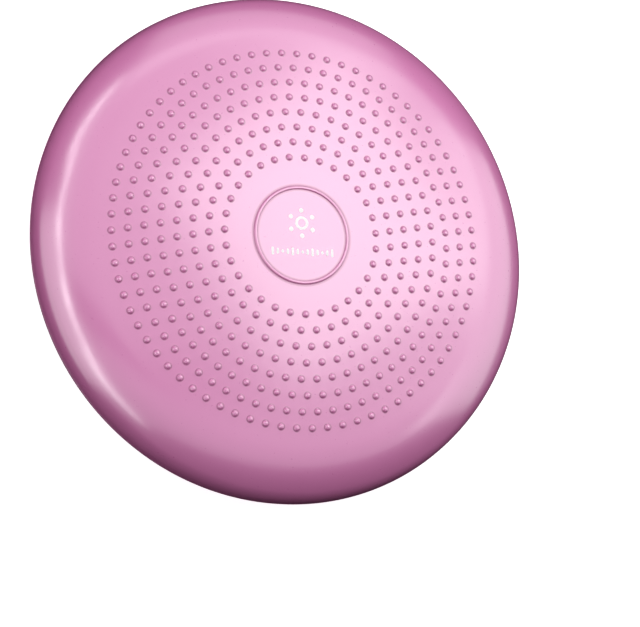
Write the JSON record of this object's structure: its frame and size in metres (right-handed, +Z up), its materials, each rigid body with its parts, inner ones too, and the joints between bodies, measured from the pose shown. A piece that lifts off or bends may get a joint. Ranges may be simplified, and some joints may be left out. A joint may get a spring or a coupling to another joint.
{
  "type": "wobble cushion",
  "caption": "Round air-filled balance cushion with a domed, nubbed top, a smooth rolled rim, a flat foot and a needle valve underneath; the top tilts and sinks on springs.",
  "frame": {"origin": "middle of the foot, in the plane the cushion rests on", "axes": "+Z up through the crown of the dome, +Y towards the top of the printed mark, valve towards -Y underneath"},
  "size_m": [0.33, 0.33, 0.0625],
  "materials": {
    "pvc_skin": "satin",
    "valve_rubber": "matte",
    "white_ink": "matte"
  },
  "bodies": {
    "base": {"underside_skin": "pvc_skin", "valve_socket": "pvc_skin", "valve_core": "valve_rubber"},
    "wall": {"upper_wall": "pvc_skin"},
    "border": {"border_ring": "pvc_skin"},
    "seat": {"nub_panel": "pvc_skin", "print_mark": "white_ink"}
  },
  "joints": [
    {"name": "tilt_front_back", "type": "hinge", "parent": "base", "child": "wall", "pos_m": [0, 0, 0.046], "axis": [1, 0, 0], "range_deg": [-5, 5], "stiffness_Nm_per_rad": 420, "deforming": ["upper_wall"]},
    {"name": "tilt_left_right", "type": "hinge", "parent": "wall", "child": "border", "pos_m": [0, 0, 0.046], "axis": [0, 1, 0], "range_deg": [-5, 5], "stiffness_Nm_per_rad": 420},
    {"name": "seat_sink", "type": "slide", "parent": "border", "child": "seat", "axis": [0, 0, -1], "range_m": [0, 0.01], "stiffness_N_per_m": 61000, "deforming": ["border_ring"]}
  ]
}
